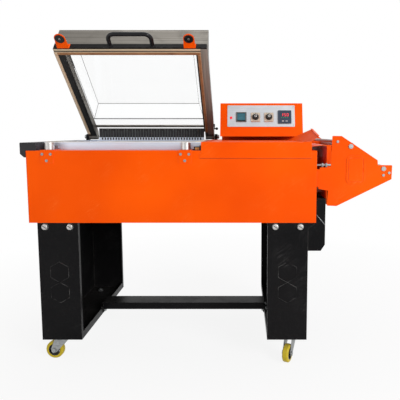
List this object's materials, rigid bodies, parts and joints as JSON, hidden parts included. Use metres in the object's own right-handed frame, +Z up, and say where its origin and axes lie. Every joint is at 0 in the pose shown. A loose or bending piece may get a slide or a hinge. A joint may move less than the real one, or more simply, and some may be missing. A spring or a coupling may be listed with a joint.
{
  "type": "l bar sealer",
  "caption": "Free-standing L bar sealing and shrink-chamber packing machine with an open clear hood, control box, film cradle and castored stand.",
  "frame": {"origin": "middle of the overall length and depth, on the floor", "axes": "+X along the machine towards the film cradle, +Y away from the operator, +Z up"},
  "size_m": [1.2599, 0.6188, 1.2177],
  "materials": {
    "orange_coat": "semi-gloss powder coat",
    "black_coat": "satin powder coat",
    "stainless": "brushed",
    "aluminium": "anodised, satin",
    "zinc": "zinc plated",
    "black_plastic": "moulded, satin",
    "tyre_yellow": "polyurethane",
    "sealing_pad": "silicone",
    "sealing_band": "woven release tape",
    "clear_acrylic": "clear sheet",
    "rocker_green": "gloss",
    "lamp_lens": "translucent",
    "timer_beige": "moulded",
    "controller_blue": "moulded",
    "key_grey": "moulded"
  },
  "bodies": {
    "machine": {"left_leg": "black_coat", "right_leg": "black_coat", "crossbar": "black_coat", "stand_bolts": "zinc", "castor_mounts": "zinc", "body_shell": "orange_coat", "bottom_pan": "orange_coat", "chamber_tub": "stainless", "base_frame": "aluminium", "seal_pads": "sealing_pad", "product_net": "stainless", "end_cap": "black_plastic", "rear_comb": "black_plastic", "hinge_brackets": "stainless", "hinge_pins": "black_plastic", "electromagnets": "zinc", "magnet_brackets": "orange_coat", "pan_screws": "zinc", "limit_switch": "black_plastic", "film_table": "orange_coat", "film_wing": "orange_coat", "control_box": "orange_coat", "control_panel": "aluminium", "pilot_lamp": "lamp_lens", "rocker_frame": "black_plastic", "timer_bodies": "timer_beige", "temp_controller": "controller_blue", "cradle_front_plate": "orange_coat", "cradle_rear_plate": "orange_coat", "cradle_bridge": "orange_coat", "cradle_ties": "zinc", "electrical_box": "black_coat"},
    "hood": {"hood_frame": "stainless", "hood_front_rail": "black_plastic", "hood_window": "clear_acrylic", "seal_bars": "sealing_band", "hood_handle": "black_plastic", "armature_brackets": "orange_coat", "armature_discs": "black_coat"},
    "hood_stay": {"hood_stay_lever": "black_plastic"},
    "switch_lever": {"switch_lever": "stainless"},
    "rocker": {"rocker": "rocker_green"},
    "timer_knob_seal": {"timer_knob_seal": "black_plastic"},
    "timer_knob_shrink": {"timer_knob_shrink": "black_plastic"},
    "temp_key_down": {"temp_key_down": "key_grey"},
    "temp_key_up": {"temp_key_up": "key_grey"},
    "guide_roller_upper": {"guide_roller_upper": "aluminium"},
    "guide_roller_outer": {"guide_roller_outer": "aluminium"},
    "castor_fl": {"castor_fl_fork": "zinc"},
    "wheel_fl": {"castor_fl_core": "black_plastic", "castor_fl_tyre": "tyre_yellow"},
    "castor_fr": {"castor_fr_fork": "zinc"},
    "wheel_fr": {"castor_fr_core": "black_plastic", "castor_fr_tyre": "tyre_yellow"},
    "castor_rl": {"castor_rl_fork": "zinc"},
    "wheel_rl": {"castor_rl_core": "black_plastic", "castor_rl_tyre": "tyre_yellow"},
    "castor_rr": {"castor_rr_fork": "zinc"},
    "wheel_rr": {"castor_rr_core": "black_plastic", "castor_rr_tyre": "tyre_yellow"}
  },
  "joints": [
    {"name": "hood_hinge", "type": "hinge", "parent": "machine", "child": "hood", "pos_m": [0, 0.274, 0.808], "axis": [1, 0, 0], "range_deg": [0, 41], "stiffness_Nm_per_rad": 14, "springref_deg": -83.08},
    {"name": "hood_stay_turn", "type": "hinge", "parent": "hood", "child": "hood_stay", "pos_m": [-0.01, 0.23639, 0.85924], "axis": [1, 0, 0], "range_deg": [-30, 60]},
    {"name": "castor_fl_swivel", "type": "hinge", "parent": "machine", "child": "castor_fl", "pos_m": [-0.536, -0.23, 0.09], "axis": [0, 0, 1], "continuous": true},
    {"name": "castor_fl_spin", "type": "hinge", "parent": "castor_fl", "child": "wheel_fl", "pos_m": [-0.56992, -0.22763, 0.0325], "axis": [0.0698, 0.9976, 0], "continuous": true},
    {"name": "castor_fr_swivel", "type": "hinge", "parent": "machine", "child": "castor_fr", "pos_m": [0.297, -0.23, 0.09], "axis": [0, 0, 1], "continuous": true},
    {"name": "castor_fr_spin", "type": "hinge", "parent": "castor_fr", "child": "wheel_fr", "pos_m": [0.28317, -0.26106, 0.0325], "axis": [-0.9135, 0.4067, 0], "continuous": true},
    {"name": "castor_rl_swivel", "type": "hinge", "parent": "machine", "child": "castor_rl", "pos_m": [-0.536, 0.209, 0.09], "axis": [0, 0, 1], "continuous": true},
    {"name": "castor_rl_spin", "type": "hinge", "parent": "castor_rl", "child": "wheel_rl", "pos_m": [-0.55693, 0.23579, 0.0325], "axis": [0.788, 0.6157, 0], "continuous": true},
    {"name": "castor_rr_swivel", "type": "hinge", "parent": "machine", "child": "castor_rr", "pos_m": [0.297, 0.209, 0.09], "axis": [0, 0, 1], "continuous": true},
    {"name": "castor_rr_spin", "type": "hinge", "parent": "castor_rr", "child": "wheel_rr", "pos_m": [0.26594, 0.19517, 0.0325], "axis": [-0.4067, 0.9135, 0], "continuous": true},
    {"name": "guide_roller_upper_spin", "type": "hinge", "parent": "machine", "child": "guide_roller_upper", "pos_m": [0.488, 0, 0.78], "axis": [0, 1, 0], "continuous": true},
    {"name": "guide_roller_outer_spin", "type": "hinge", "parent": "machine", "child": "guide_roller_outer", "pos_m": [0.601, 0, 0.704], "axis": [0, 1, 0], "continuous": true},
    {"name": "switch_lever_press", "type": "hinge", "parent": "machine", "child": "switch_lever", "pos_m": [-0.0235, -0.277, 0.781], "axis": [0, 1, 0], "range_deg": [-8, 0], "stiffness_Nm_per_rad": 0.02, "springref_deg": 20.05},
    {"name": "rocker_tilt", "type": "hinge", "parent": "machine", "child": "rocker", "pos_m": [0.1145, 0.06501, 0.88967], "axis": [1, 0, 0], "range_deg": [0, 14]},
    {"name": "timer_knob_seal_turn", "type": "hinge", "parent": "machine", "child": "timer_knob_seal", "pos_m": [0.1735, 0.05849, 0.89057], "axis": [0, -0.958, 0.2869], "range_deg": [0, 270]},
    {"name": "timer_knob_shrink_turn", "type": "hinge", "parent": "machine", "child": "timer_knob_shrink", "pos_m": [0.2285, 0.05849, 0.89057], "axis": [0, -0.958, 0.2869], "range_deg": [0, 270]},
    {"name": "temp_key_down_press", "type": "slide", "parent": "machine", "child": "temp_key_down", "axis": [0, 0.958, -0.2869], "range_m": [0, 0.001], "stiffness_N_per_m": 300, "springref_m": -0.001},
    {"name": "temp_key_up_press", "type": "slide", "parent": "machine", "child": "temp_key_up", "axis": [0, 0.958, -0.2869], "range_m": [0, 0.001], "stiffness_N_per_m": 300, "springref_m": -0.001}
  ]
}
